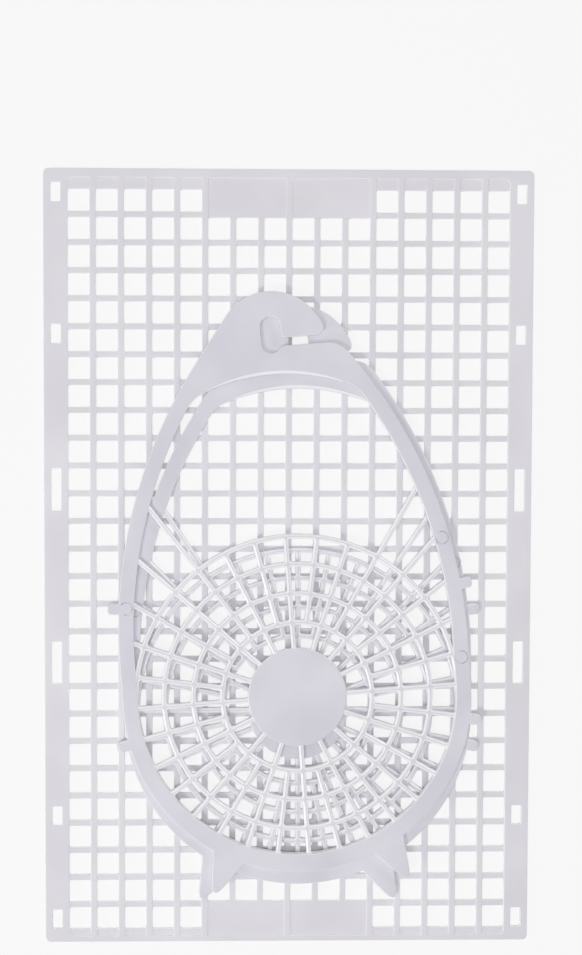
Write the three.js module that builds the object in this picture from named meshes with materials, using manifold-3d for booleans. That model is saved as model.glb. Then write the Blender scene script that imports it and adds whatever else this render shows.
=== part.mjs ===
// A flat-packed peg basket: a mesh panel lying flat, with its two end frames stacked on top of it.
// The panel bends up into a trough. An end frame then stands in each side of it, with its tabs and
// feet through the panel's slots, and the hooks on the frames hang the basket on a washing line.
// Millimetres, +Z up. The origin is the middle of the panel's underside, +X to the right along the
// panel's width and +Y along its length, towards the hooks.

import * as THREE from 'three';
import { mergeVertices } from 'three/addons/utils/BufferGeometryUtils.js';
import Module from 'manifold-3d';

// Mesh panel
const PANEL_WIDTH = 240;
const PANEL_LENGTH = 382;
const PANEL_THICKNESS = 2; // the frame round the edge and the upright bars
const FIELD_THICKNESS = 1.4; // the cross bars and blank plates, set down inside the frame
const PANEL_CORNER_RADIUS = 2.5;
const HOLE_SIZE = 10.65;
const UPRIGHT_BAR = 3.05; // bars along the length
const CROSS_BAR = 2.99; // bars across the width
const GRID_SHIFT = -1.75; // the hole grid sits nearer to the lower end
const END_BORDER = 6; // least solid width at the two ends
const UPPER_BAND = 4.5; // raised band along the upper end
const LOWER_BAND = 2.8; // raised band along the lower end
const PLATE_COLUMNS = 6; // columns closed by the blank plate in the first and last rows
const PLATE_PARTS = 2; // each plate is split into this many equal parts by a raised rib
const ROOT = 1; // how far bars run into the frame that holds them

// Slots in the panel's side borders, which take the tabs and feet of the end frames
const SLOT_CLEARANCE = 0.8; // slot width over the frame's thickness
const SLOT_LAND = 3.3; // least solid width beside a slot
const TAB_PLAY = 2.1; // room along the slot at each end of a tab
const FOOT_PLAY = 1.6; // the same at each end of a foot
const OUTER_SLOT_EDGE = 11.6; // from the panel's ends to the middle of the outermost slots

// Bend lines: the panel gives way across its bars at these rows, counted from the trough's bottom
const BEND_ROWS = [1, 4, 7];
const BEND_GAP = 0.3;

// End frame: rim
const FRAME_THICKNESS = 4;
const RIM_RADIUS = 85.6; // lower half, outside
const RIM_DROP = 1.1; // the outside's lower half is centred this far below the hub
const RIM_WIDTH = 7.5;
const SIDE_RISE = 22; // straight sides above the hub's level
const FLANK_RADIUS = 241; // the sides' long curve up to the hook
const TROUGH_CLEARANCE = 0.6; // between the rim and the bent panel

// End frame: hook and handle, as heights above each other from the hub's middle
const ARCH_TOP = 158.4; // top of the handle opening
const ARCH_RADIUS = 95;
const ARCH_CORNER = 5; // how far its rounded corners reach along each side
const SEAT_WALL = 10.5; // solid between the handle opening and the line's seat
const SEAT_HEIGHT = 17.8;
const SEAT_WIDTH = 9.8;
const CROWN_WALL = 12.3; // solid over the seat
const CROWN_RADIUS = 26.5;
const MOUTH_RISE = 3.3; // mouth's lower edge over the seat's bottom
const MOUTH_GAP = 3.8;
const BEAK_SHARE = 0.85; // part of the edge between mouth and crown that the beak's rounding takes
const LIP_RADIUS = 6;

// End frame: web
const WEB_THICKNESS = 3;
const HUB_RADIUS = 24.2;
const RING_SHARES = [0.43, 0.596, 0.764, 0.924]; // ring radii as parts of the rim's
const RIB_WIDTH = 2.7;
const SPOKES = 32;
const HANDLE_ANGLE = 28; // spokes closer to upright than this stop at the outer ring

// End frame: feet and tabs
const FOOT_OUTER = 46.8; // the foot's outer edge where it leaves the rim, from the middle
const FOOT_FLARE = 2.2; // how far that edge leans out on its way down
const FOOT_INNER = 32.3; // where its slanted edge leaves the rim
const FOOT_DROP = 7.2; // its tip, below the rim's lowest point
const FOOT_TIP_RISE = 3.4; // height of the tip's rounding
const TAB_LENGTH = 5.4;
const TAB_WIDTH = 5.2;
const TAB_CORNER = 1.6;
const LOWER_TAB_ANGLE = 78.3; // from straight down
const UPPER_TAB_HEIGHT = 49.7; // above the hub's level

// How the frames lie in the pack
const STACK_GAP = 0.3;
const REAR_PLACE = [4.9, 22.7]; // the hub's X, and the feet's distance from the panel's lower end
const REAR_TURN = 0.1;
const FRONT_PLACE = [4.5, 30];
const FRONT_TURN = 4.4;

const CURVE_SEGMENTS = 10;
const PLASTIC = { color: 0xd9d8e0, roughness: 0.42, metalness: 0 };

const { degToRad, radToDeg, clamp } = THREE.MathUtils;

const wasm = await Module();
wasm.setup();

// Solids

function solid(geometry) {
  const bare = geometry.index ? geometry.toNonIndexed() : geometry.clone();
  bare.deleteAttribute('normal');
  bare.deleteAttribute('uv');
  const merged = mergeVertices(bare, 1e-4);
  return new wasm.Manifold(new wasm.Mesh({
    numProp: 3,
    vertProperties: new Float32Array(merged.attributes.position.array),
    triVerts: new Uint32Array(merged.index.array),
  }));
}

function extrude(shape, thickness, curveSegments = CURVE_SEGMENTS) {
  return solid(new THREE.ExtrudeGeometry(shape, { depth: thickness, bevelEnabled: false, curveSegments }));
}

function box(x0, x1, y0, y1, z0, z1) {
  const geometry = new THREE.BoxGeometry(x1 - x0, y1 - y0, z1 - z0);
  return solid(geometry.translate((x0 + x1) / 2, (y0 + y1) / 2, (z0 + z1) / 2));
}

function join(solids) {
  return solids.reduce((whole, piece) => whole.add(piece));
}

function mesh(name, body) {
  const { vertProperties, triVerts } = body.getMesh();
  const geometry = new THREE.BufferGeometry();
  geometry.setAttribute('position', new THREE.BufferAttribute(new Float32Array(vertProperties), 3));
  geometry.setIndex(new THREE.BufferAttribute(new Uint32Array(triVerts), 1));
  geometry.computeVertexNormals();
  const piece = new THREE.Mesh(geometry, new THREE.MeshStandardMaterial(PLASTIC));
  piece.name = name;
  return piece;
}

// Hole grid of the panel

const slotWidth = FRAME_THICKNESS + SLOT_CLEARANCE;
const columnPitch = HOLE_SIZE + UPRIGHT_BAR;
const rowPitch = HOLE_SIZE + CROSS_BAR;
const sideBorder = slotWidth + 2 * SLOT_LAND;
const columns = Math.floor((PANEL_WIDTH - 2 * sideBorder - HOLE_SIZE) / columnPitch) + 1;
const rows = Math.floor((PANEL_LENGTH + 2 * GRID_SHIFT - 2 * END_BORDER - HOLE_SIZE) / rowPitch) + 1;
const gridLeft = -((columns - 1) * columnPitch + HOLE_SIZE) / 2;
const gridTop = GRID_SHIFT + ((rows - 1) * rowPitch + HOLE_SIZE) / 2;
const gridBottom = GRID_SHIFT - ((rows - 1) * rowPitch + HOLE_SIZE) / 2;

// Left edge of a column's holes and upper edge of a row's holes
const columnLeft = (column) => gridLeft + column * columnPitch;
const rowTop = (row) => gridTop - row * rowPitch;

const plateFirst = Math.floor((columns - PLATE_COLUMNS) / 2);
const plateLast = plateFirst + PLATE_COLUMNS - 1;

// The trough's bottom is the bar nearest to the grid's middle, on the lower side
const troughMiddle = rowTop(Math.ceil(rows / 2)) + CROSS_BAR / 2;

function rectangle(x0, x1, y0, y1, radius = 0) {
  const path = new THREE.Shape();
  path.moveTo(x0 + radius, y0);
  path.lineTo(x1 - radius, y0);
  if (radius) path.absarc(x1 - radius, y0 + radius, radius, -Math.PI / 2, 0);
  path.lineTo(x1, y1 - radius);
  if (radius) path.absarc(x1 - radius, y1 - radius, radius, 0, Math.PI / 2);
  path.lineTo(x0 + radius, y1);
  if (radius) path.absarc(x0 + radius, y1 - radius, radius, Math.PI / 2, Math.PI);
  path.lineTo(x0, y0 + radius);
  if (radius) path.absarc(x0 + radius, y0 + radius, radius, Math.PI, Math.PI * 1.5);
  return path;
}

// Slots: [middle along Y, length], from where the tabs and feet stand round the trough

function slotPlaces() {
  const bendRadius = RIM_RADIUS + TROUGH_CLEARANCE + PANEL_THICKNESS / 2;
  const footOuter = FOOT_OUTER + FOOT_FLARE / 2; // halfway down the leaning edge
  const footSpan = Math.hypot(footOuter - FOOT_INNER, rimDrop(FOOT_INNER) - rimDrop(footOuter));
  const footAngle = (Math.asin(footOuter / RIM_RADIUS) + Math.asin(FOOT_INNER / RIM_RADIUS)) / 2;
  const footArc = bendRadius * footAngle;
  const tabArc = bendRadius * degToRad(LOWER_TAB_ANGLE);
  const outer = PANEL_LENGTH / 2 - OUTER_SLOT_EDGE;
  const tabSlot = TAB_WIDTH + 2 * TAB_PLAY;
  const footSlot = footSpan + 2 * FOOT_PLAY;
  return [
    [troughMiddle - footArc, footSlot], [troughMiddle + footArc, footSlot],
    [troughMiddle - tabArc, tabSlot], [troughMiddle + tabArc, tabSlot],
    [-outer, tabSlot], [outer, tabSlot],
  ];
}

// Depth of the rim's outer edge below the hub's level, at a distance from the middle
function rimDrop(distance) {
  return RIM_DROP + Math.sqrt(RIM_RADIUS ** 2 - distance ** 2);
}

// Mesh panel

function panelSolid() {
  const halfWidth = PANEL_WIDTH / 2;
  const halfLength = PANEL_LENGTH / 2;
  const fieldTop = halfLength - UPPER_BAND;
  const fieldBottom = -halfLength + LOWER_BAND;
  const right = -gridLeft;

  const outline = rectangle(-halfWidth, halfWidth, -halfLength, halfLength, PANEL_CORNER_RADIUS);
  outline.holes.push(rectangle(gridLeft, right, fieldBottom, fieldTop));
  const frame = extrude(outline, PANEL_THICKNESS);

  // Cross bars lie lower than the frame; the first and last fill the field up to the raised bands
  const low = (y0, y1) => box(gridLeft - ROOT, right + ROOT, y0, y1, 0, FIELD_THICKNESS);
  const crossBars = [low(gridTop, fieldTop + ROOT), low(fieldBottom - ROOT, gridBottom)];
  for (let row = 1; row < rows; row += 1) {
    crossBars.push(low(rowTop(row), rowTop(row - 1) - HOLE_SIZE));
  }

  // Upright bars stop at the blank plates, apart from the plates' own ribs
  const ribStep = PLATE_COLUMNS / PLATE_PARTS;
  const uprightBars = [];
  for (let column = 1; column < columns; column += 1) {
    const inPlate = column > plateFirst && column <= plateLast;
    const isShort = inPlate && (column - plateFirst) % ribStep !== 0;
    const top = isShort ? rowTop(1) : fieldTop + ROOT;
    const bottom = isShort ? rowTop(rows - 2) - HOLE_SIZE : fieldBottom - ROOT;
    const left = columnLeft(column - 1) + HOLE_SIZE;
    uprightBars.push(box(left, columnLeft(column), bottom, top, 0, PANEL_THICKNESS));
  }

  const plateLeft = columnLeft(plateFirst) - UPRIGHT_BAR / 2;
  const plateRight = columnLeft(plateLast) + HOLE_SIZE + UPRIGHT_BAR / 2;
  const plates = [[rowTop(1), gridTop], [gridBottom, rowTop(rows - 2) - HOLE_SIZE]].map(([y0, y1]) => box(
    plateLeft, plateRight, y0, y1, 0, FIELD_THICKNESS));

  const slotMiddle = (halfWidth + right) / 2;
  const slots = slotPlaces().flatMap(([middle, length]) => [-1, 1].map((side) => box(
    side * slotMiddle - slotWidth / 2, side * slotMiddle + slotWidth / 2,
    middle - length / 2, middle + length / 2, -PANEL_THICKNESS, 2 * PANEL_THICKNESS)));
  const whole = join([frame, ...crossBars, ...uprightBars, ...plates]);
  return slots.reduce((left, slot) => left.subtract(slot), whole);
}

// The panel as strips between its bend lines, with a hair gap at each line
function panelStrips() {
  const whole = panelSolid();
  const bends = BEND_ROWS.map((row) => (row + 0.5) * rowPitch);
  const strip = (from, to) => whole.intersect(box(
    -PANEL_WIDTH, PANEL_WIDTH, troughMiddle + from, troughMiddle + to,
    -PANEL_THICKNESS, 2 * PANEL_THICKNESS));
  const half = BEND_GAP / 2;
  const strips = [mesh('panel_centre', strip(-bends[0] + half, bends[0] - half))];
  bends.forEach((bend, index) => {
    const next = index + 1 < bends.length ? bends[index + 1] - half : PANEL_LENGTH;
    strips.push(mesh(`panel_upper_${index + 1}`, strip(bend + half, next)));
    strips.push(mesh(`panel_lower_${index + 1}`, strip(-next, -bend - half)));
  });
  return strips;
}

// End frame outline. The right flank's circle is centred on (flankCentre, SIDE_RISE).

const flankCentre = RIM_RADIUS - FLANK_RADIUS;
const seatBottom = ARCH_TOP + SEAT_WALL;
const seatTop = seatBottom + SEAT_HEIGHT;
const crownMiddle = seatTop + CROWN_WALL - CROWN_RADIUS;
const mouthBottom = seatBottom + MOUTH_RISE;
const mouthTop = mouthBottom + MOUTH_GAP;

// Direction in which the straight shoulder between the right flank and the crown faces
function shoulderAngle() {
  const across = -flankCentre;
  const up = crownMiddle - SIDE_RISE;
  const spread = clamp((FLANK_RADIUS - CROWN_RADIUS) / Math.hypot(across, up), -1, 1);
  return Math.atan2(up, across) - Math.acos(spread);
}

function outerPath() {
  const lean = shoulderAngle();
  const flankEnd = new THREE.Vector2(
    flankCentre + FLANK_RADIUS * Math.cos(lean), SIDE_RISE + FLANK_RADIUS * Math.sin(lean));
  const crownStart = new THREE.Vector2(
    CROWN_RADIUS * Math.cos(lean), crownMiddle + CROWN_RADIUS * Math.sin(lean));
  const edgeAt = (height) => {
    if (height < flankEnd.y) return flankCentre + Math.sqrt(FLANK_RADIUS ** 2 - (height - SIDE_RISE) ** 2);
    const share = (height - flankEnd.y) / (crownStart.y - flankEnd.y);
    return flankEnd.x + share * (crownStart.x - flankEnd.x);
  };
  const seatRadius = SEAT_WIDTH / 2;
  const lipStart = mouthBottom - LIP_RADIUS;
  const beakReach = BEAK_SHARE * (crownStart.y - mouthTop);
  const beakEnd = mouthTop + beakReach;
  const seatEntry = Math.asin(clamp((mouthBottom - seatBottom) / seatRadius - 1, -1, 1));

  const path = new THREE.Shape();
  path.moveTo(RIM_RADIUS, -RIM_DROP);
  path.lineTo(RIM_RADIUS, SIDE_RISE);
  const flankStop = Math.min(lipStart, flankEnd.y);
  path.absarc(flankCentre, SIDE_RISE, FLANK_RADIUS, 0, Math.asin((flankStop - SIDE_RISE) / FLANK_RADIUS));
  path.lineTo(edgeAt(lipStart), lipStart);
  // Lip, mouth, seat and beak of the hook
  path.quadraticCurveTo(edgeAt(mouthBottom), mouthBottom, edgeAt(mouthBottom) - LIP_RADIUS, mouthBottom);
  path.lineTo(seatRadius * Math.cos(seatEntry), mouthBottom);
  path.absarc(0, seatBottom + seatRadius, seatRadius, seatEntry, Math.PI, true);
  path.lineTo(-seatRadius, seatTop - seatRadius);
  path.absarc(0, seatTop - seatRadius, seatRadius, Math.PI, 0, true);
  path.lineTo(seatRadius, mouthTop);
  path.lineTo(edgeAt(mouthTop) - beakReach, mouthTop);
  path.quadraticCurveTo(edgeAt(mouthTop), mouthTop, edgeAt(beakEnd), beakEnd);
  path.lineTo(crownStart.x, crownStart.y);
  path.absarc(0, crownMiddle, CROWN_RADIUS, lean, Math.PI - lean);
  path.lineTo(-flankEnd.x, flankEnd.y);
  path.absarc(-flankCentre, SIDE_RISE, FLANK_RADIUS, Math.PI - lean, Math.PI);
  path.lineTo(-RIM_RADIUS, -RIM_DROP);
  path.absarc(0, -RIM_DROP, RIM_RADIUS, Math.PI, Math.PI * 1.5);
  path.absarc(0, -RIM_DROP, RIM_RADIUS, Math.PI * 1.5, Math.PI * 2);
  return path;
}

// The opening inside the rim, closed by the arch over the handle, set in from the outer edge
function innerPath(inset) {
  const radius = RIM_RADIUS - inset;
  const flank = FLANK_RADIUS - inset;
  const archMiddle = ARCH_TOP - ARCH_RADIUS;
  // Corner where the right flank's circle meets the arch's circle
  const across = -flankCentre;
  const up = archMiddle - SIDE_RISE;
  const span = Math.hypot(across, up);
  const along = (flank ** 2 - ARCH_RADIUS ** 2 + span ** 2) / (2 * span);
  const flankAngle = Math.atan2(up, across) + Math.acos(clamp(along / flank, -1, 1));
  const cornerX = flankCentre + flank * Math.cos(flankAngle);
  const cornerY = SIDE_RISE + flank * Math.sin(flankAngle);
  const flankStop = flankAngle - ARCH_CORNER / flank;
  const archStart = Math.atan2(cornerY - archMiddle, cornerX) + ARCH_CORNER / ARCH_RADIUS;
  const flankEnd = [flankCentre + flank * Math.cos(flankStop), SIDE_RISE + flank * Math.sin(flankStop)];
  const archEnd = [ARCH_RADIUS * Math.cos(archStart), archMiddle + ARCH_RADIUS * Math.sin(archStart)];

  const path = new THREE.Shape();
  path.moveTo(radius, 0);
  path.lineTo(radius, SIDE_RISE);
  path.absarc(flankCentre, SIDE_RISE, flank, 0, flankStop);
  path.quadraticCurveTo(cornerX, cornerY, archEnd[0], archEnd[1]);
  path.absarc(0, archMiddle, ARCH_RADIUS, archStart, Math.PI - archStart);
  path.quadraticCurveTo(-cornerX, cornerY, -flankEnd[0], flankEnd[1]);
  path.absarc(-flankCentre, SIDE_RISE, flank, Math.PI - flankStop, Math.PI);
  path.lineTo(-radius, 0);
  path.absarc(0, 0, radius, Math.PI, Math.PI * 1.5);
  path.absarc(0, 0, radius, Math.PI * 1.5, Math.PI * 2);
  return path;
}

const ringRadii = RING_SHARES.map((share) => share * RIM_RADIUS);

// Web of rings and spokes round the hub, trimmed inside the rim's band. Each ring runs straight
// from spoke to spoke: a full circle gets twice as many sides as its curve segments.

function ring(inside, outside) {
  const shape = new THREE.Shape().absarc(0, 0, outside, 0, Math.PI * 2);
  if (inside > 0) shape.holes.push(new THREE.Path().absarc(0, 0, inside, 0, Math.PI * 2));
  return extrude(shape, WEB_THICKNESS, SPOKES / 2);
}

function spoke(index) {
  const angle = index * 360 / SPOKES;
  const fromUpright = Math.min(angle, 360 - angle);
  const start = index % 2 === 0 ? HUB_RADIUS - RIB_WIDTH / 2 : ringRadii[0];
  const end = fromUpright < HANDLE_ANGLE ? ringRadii.at(-1) : ARCH_TOP;
  return box(-RIB_WIDTH / 2, RIB_WIDTH / 2, start, end, 0, WEB_THICKNESS).rotate([0, 0, -angle]);
}

function webSolid() {
  const rings = ringRadii.map((radius) => ring(radius - RIB_WIDTH / 2, radius + RIB_WIDTH / 2));
  const spokes = Array.from({ length: SPOKES }, (_, index) => spoke(index));
  const trimmed = join([ring(0, HUB_RADIUS), ...rings, ...spokes])
    .intersect(extrude(innerPath(RIM_WIDTH / 2), WEB_THICKNESS));
  return trimmed.translate([0, 0, (FRAME_THICKNESS - WEB_THICKNESS) / 2]);
}

// Feet and tabs, rooted inside the rim's band

const footReach = RIM_RADIUS + RIM_DROP + FOOT_DROP;

function foot(side) {
  const tip = -footReach;
  const tipOuter = FOOT_OUTER + FOOT_FLARE;
  const tipInner = tipOuter - 2 * FOOT_TIP_RISE;
  const rooted = RIM_WIDTH / 2;
  const shape = new THREE.Shape();
  shape.moveTo(side * FOOT_OUTER, -rimDrop(FOOT_OUTER) + rooted);
  shape.lineTo(side * tipOuter, tip + FOOT_TIP_RISE);
  shape.quadraticCurveTo(side * tipOuter, tip - FOOT_TIP_RISE, side * tipInner, tip + FOOT_TIP_RISE);
  shape.lineTo(side * FOOT_INNER, -rimDrop(FOOT_INNER));
  shape.lineTo(side * FOOT_INNER, -rimDrop(FOOT_INNER) + rooted);
  return extrude(shape, FRAME_THICKNESS);
}

// A tab standing out square from the rim, on the right or the left
function tab(side, x, y, lean) {
  const shape = rectangle(-RIM_WIDTH / 2, TAB_LENGTH, -TAB_WIDTH / 2, TAB_WIDTH / 2, TAB_CORNER);
  const turn = side > 0 ? lean : 180 - lean;
  return extrude(shape, FRAME_THICKNESS, 3).rotate([0, 0, turn]).translate([side * x, y, 0]);
}

function endFrameSolid() {
  const rimShape = outerPath();
  rimShape.holes.push(innerPath(RIM_WIDTH));
  const lowerLean = LOWER_TAB_ANGLE - 90;
  const lower = degToRad(lowerLean);
  const upper = Math.asin((UPPER_TAB_HEIGHT - SIDE_RISE) / FLANK_RADIUS);
  const upperX = flankCentre + FLANK_RADIUS * Math.cos(upper);
  const tabs = [-1, 1].flatMap((side) => [
    tab(side, RIM_RADIUS * Math.cos(lower), RIM_RADIUS * Math.sin(lower), lowerLean),
    tab(side, upperX, UPPER_TAB_HEIGHT, radToDeg(upper)),
  ]);
  return join([extrude(rimShape, FRAME_THICKNESS), webSolid(), foot(-1), foot(1), ...tabs]);
}

// An end frame lying in the pack: its place on the panel, its turn and its layer above the panel
function layFrame(name, body, place, turn, layer) {
  const group = new THREE.Group();
  const base = PANEL_THICKNESS + STACK_GAP + layer * (FRAME_THICKNESS + STACK_GAP);
  group.position.set(place[0], -PANEL_LENGTH / 2 + place[1] + footReach, base);
  group.rotation.z = degToRad(turn);
  group.add(mesh(name, body));
  return group;
}

const basket = new THREE.Group();
basket.add(...panelStrips());
const endFrame = endFrameSolid();
basket.add(layFrame('rear_end', endFrame, REAR_PLACE, REAR_TURN, 0));
basket.add(layFrame('front_end', endFrame, FRONT_PLACE, FRONT_TURN, 1));

export default basket;
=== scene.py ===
# %% [markdown]
# # A flat-packed peg basket
#
# The object is a kit of three white plastic mouldings, packed flat: a mesh panel and two end frames
# that lie stacked on it. The panel bends up into a trough, a frame closes each end of it, and the
# hooks on the frames hang the basket on a washing line.
#
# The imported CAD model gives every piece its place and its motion. Here each piece is modelled again
# with the soft edges and drafted ribs that a mould leaves, and gets its finish.

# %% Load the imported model
import math

import bmesh
import bpy
from mathutils import Matrix, Vector
from mathutils.geometry import delaunay_2d_cdt


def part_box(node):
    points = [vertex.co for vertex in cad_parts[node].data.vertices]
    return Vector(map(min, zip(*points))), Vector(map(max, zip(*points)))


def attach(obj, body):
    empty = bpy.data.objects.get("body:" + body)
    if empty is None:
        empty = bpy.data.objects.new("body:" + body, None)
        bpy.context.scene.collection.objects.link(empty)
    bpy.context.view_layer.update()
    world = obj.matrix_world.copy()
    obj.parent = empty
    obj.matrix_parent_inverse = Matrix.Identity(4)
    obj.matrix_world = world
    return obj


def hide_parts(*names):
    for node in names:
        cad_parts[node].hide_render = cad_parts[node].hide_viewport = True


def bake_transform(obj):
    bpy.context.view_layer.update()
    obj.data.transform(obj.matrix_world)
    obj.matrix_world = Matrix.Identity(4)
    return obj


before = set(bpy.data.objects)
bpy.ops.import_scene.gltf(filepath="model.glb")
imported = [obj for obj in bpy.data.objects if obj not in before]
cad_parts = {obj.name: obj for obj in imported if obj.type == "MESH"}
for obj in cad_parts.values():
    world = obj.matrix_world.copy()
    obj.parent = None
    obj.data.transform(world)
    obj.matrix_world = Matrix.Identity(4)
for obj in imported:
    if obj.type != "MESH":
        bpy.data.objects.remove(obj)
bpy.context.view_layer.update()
scene = bpy.context.scene
MM = 0.001  # all sizes below are in millimetres; Blender's unit is the metre
print("nodes:", ", ".join(sorted(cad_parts)))

# %% [markdown]
# ## The camera
#
# The pack was photographed lying flat, from almost straight above. A camera could be placed by eye,
# but a lattice of equal holes is a measuring grid: its perspective fixes where the lens was. The
# camera stands 0.9 m over the panel, a little above and left of its middle, and looks down with a
# few degrees of tilt.

# %% Camera over the pack
CAMERA_PLACE = (-24.14, 87.99, 900.19)
CAMERA_TURN = (-3.031, -1.614, 0.194)  # degrees about X, Y and Z
LENS = 68.95
SENSOR = 36  # along the picture's long side


def placed(name, data):
    """A new object in the scene that shows the data."""
    thing = bpy.data.objects.new(name, data)
    scene.collection.objects.link(thing)
    return thing


camera = placed("photo_camera", bpy.data.cameras.new("photo_camera"))
camera.data.lens = LENS
camera.data.sensor_width = SENSOR
camera.location = Vector(CAMERA_PLACE) * MM
camera.rotation_mode = "ZXY"
camera.rotation_euler = [math.radians(angle) for angle in CAMERA_TURN]
scene.camera = camera
print("camera at", CAMERA_PLACE, "mm, lens", LENS, "mm")

# %% [markdown]
# ## Outlines
#
# Everything in this pack is a flat moulding: an outline with openings in it, given a thickness. The
# outlines are drawn as lists of points from straight lines, arcs and smooth corners. Blender's
# curve objects could hold them too, but plain lists let each point carry its own edge radius later.

# %% Arcs, corners and rectangles
ARC_STEP = 1.6  # between neighbouring points on a curve


def arc(x, y, radius, start, stop, step=ARC_STEP):
    """Points on an arc round (x, y), both ends included. Angles are in radians."""
    count = max(3, math.ceil(abs(stop - start) * radius / step))
    angles = [start + (stop - start) * k / count for k in range(count + 1)]
    return [Vector((x + radius * math.cos(a), y + radius * math.sin(a))) for a in angles]


def bend(start, corner, stop, count=6):
    """Points on a smooth bend from start to stop, drawn towards the corner between them."""
    start, corner, stop = Vector(start), Vector(corner), Vector(stop)
    shares = [k / count for k in range(count + 1)]
    return [start * (1 - t) ** 2 + corner * 2 * t * (1 - t) + stop * t * t for t in shares]


def rectangle(x0, x1, y0, y1, radius):
    """A rectangle with round corners."""
    quarter = math.pi / 2
    middles = [(x1, y1, -1, -1), (x0, y1, 1, -1), (x0, y0, 1, 1), (x1, y0, -1, 1)]
    return [point for k, (x, y, across, up) in enumerate(middles) for point in arc(
        x + across * radius, y + up * radius, radius, k * quarter, (k + 1) * quarter)]


print("a 10 mm square with 1 mm corners has", len(rectangle(0, 10, 0, 10, 1)), "points")

# %% [markdown]
# ## From outline to moulding
#
# A moulded edge is never sharp: it has a small radius, and deep walls lean a little so that the
# part leaves its mould. An extrusion with a Bevel modifier gives that on simple shapes, but it gets
# into trouble where hundreds of small openings lie close together. So the walls are built as a
# stack of loops instead. Each loop repeats the outline at one height, set in by the amount that the
# edge's profile has there, and the top and bottom are filled by a triangulation that leaves the
# openings free. The result is one closed body.

# %% Loops and edge profiles
SAME_POINT = 0.01  # neighbours closer than this are one point
SHARPEST = 0.4  # keeps the step at a very sharp corner from running away
EDGE_STEPS = 3  # flats that make up a rounded edge
FOOT_ROUND = 0.15  # radius of the edges on the underside


def sides(loop):
    """Each point of a closed loop with the next one."""
    return list(zip(loop, loop[1:] + loop[:1]))


def corners(loop):
    """Each point of a closed loop between its two neighbours."""
    return list(zip(loop[-1:] + loop[:-1], loop, loop[1:] + loop[:1]))


def area(loop):
    """Area inside a loop, below zero if the loop runs clockwise."""
    return sum(p.cross(q) for p, q in sides(loop)) / 2


def facing(loop, sign):
    """The loop without doubled points, running anticlockwise for sign 1 and clockwise for -1."""
    loop = [p for p, q in sides(loop) if (p - q).length > SAME_POINT]
    return loop if area(loop) * sign > 0 else loop[::-1]


def steps_inward(loop):
    """For each point, the step that sets both of its sides 1 mm into the wall on their left."""
    steps = []
    for before, here, after in corners(loop):
        a, b = (here - before).normalized(), (after - here).normalized()
        left = Vector((-a.y - b.y, a.x + b.x))
        steps.append(left / max(SHARPEST, 1 + a.dot(b)))
    return steps


def rounded(bottom, top, depth, width=None):
    """Edge profile of a flat moulding: how far in and how high, from the underside to the top."""
    turns = [math.pi / 2 * k / EDGE_STEPS for k in range(EDGE_STEPS + 1)]
    edge = [((width or depth) * (1 - math.cos(a)), top - depth * (1 - math.sin(a))) for a in turns]
    return [(FOOT_ROUND, bottom), (0, bottom + FOOT_ROUND), *edge]


profile = rounded(0, 2, 0.5)
print("profile of a 2 mm plate:", [(round(x, 2), round(z, 2)) for x, z in profile])

# %% Close a body's top and bottom
TRIANGLES_INSIDE = 1  # the triangulation's mode that keeps to the loops
TOUCHING = 1e-5  # the triangulation joins points closer than this


def encloses(loop, point):
    """Whether a ray from the point to the right crosses the loop an odd number of times."""
    crossings = [p for p, q in sides(loop) if (p.y > point.y) != (q.y > point.y)
                 and point.x < p.x + (q.x - p.x) * (point.y - p.y) / (q.y - p.y)]
    return len(crossings) % 2 == 1


def cap(bm, rings, upward):
    """Fills the face between an outer ring and the rings of the openings."""
    points = [(point, number) for number, ring in enumerate(rings) for point in ring]
    flat = [point.co.to_2d() for point, _ in points]
    loops = [[point.co.to_2d() for point in ring] for ring in rings]
    edges = []
    for ring in rings:
        first = len(edges)
        edges += [(first + k, first + (k + 1) % len(ring)) for k in range(len(ring))]
    _, _, triangles, origins, _, _ = delaunay_2d_cdt(flat, edges, [], TRIANGLES_INSIDE, TOUCHING)
    for triangle in triangles:
        places = [origins[k][0] for k in triangle]
        numbers = {points[place][1] for place in places}
        middle = sum((flat[place] for place in places), Vector((0, 0))) / 3
        if len(numbers) == 1 and 0 not in numbers and encloses(loops[numbers.pop()], middle):
            continue  # the triangle lies in an opening
        face = [points[place][0] for place in places]
        bm.faces.new(face if upward else face[::-1])


unit = [Vector(point) for point in ((0, 0), (1, 0), (1, 1), (0, 1))]
print("the middle of a square is inside it:", encloses(unit, Vector((0.5, 0.5))))

# %% Build a closed body from loops


def mesh_from(bm, name):
    """A mesh from a finished bmesh, which is used up."""
    mesh = bpy.data.meshes.new(name)
    bm.to_mesh(mesh)
    bm.free()
    return mesh


def moulding(name, outline, openings, profile_at):
    """A closed body in millimetres. profile_at gives the edge profile at a point of the outline."""
    bm = bmesh.new()
    stacks = []
    for index, loop in enumerate([outline, *openings]):
        loop = facing(loop, 1 if index == 0 else -1)
        columns = [[bm.verts.new((*(point + step * inset), height))
                    for inset, height in profile_at(point)]
                   for point, step in zip(loop, steps_inward(loop))]
        for here, after in sides(columns):
            for k in range(len(here) - 1):
                bm.faces.new((here[k], after[k], after[k + 1], here[k + 1]))
        stacks.append(columns)
    cap(bm, [[column[0] for column in columns] for columns in stacks], upward=False)
    cap(bm, [[column[-1] for column in columns] for columns in stacks], upward=True)
    return placed(name, mesh_from(bm, name))


print("rows of faces in a wall with a rounded edge:", len(profile) - 1)

# %% [markdown]
# ## The mesh panel
#
# The panel is one flat moulding, 240 by 382 mm and 2 mm thick. A raised frame runs round its edge.
# Inside it lies a lattice of square holes, with upright bars as high as the frame and cross bars a
# little lower. Two blank plates close the middle of the first and last rows, each with a rib down
# its middle. Slots in the side borders take the tabs and feet of the end frames.
#
# An Array of one hole would be quick, but the plates, borders and slots break the pattern. Loops
# over columns and rows keep all of it in one place.

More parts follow.
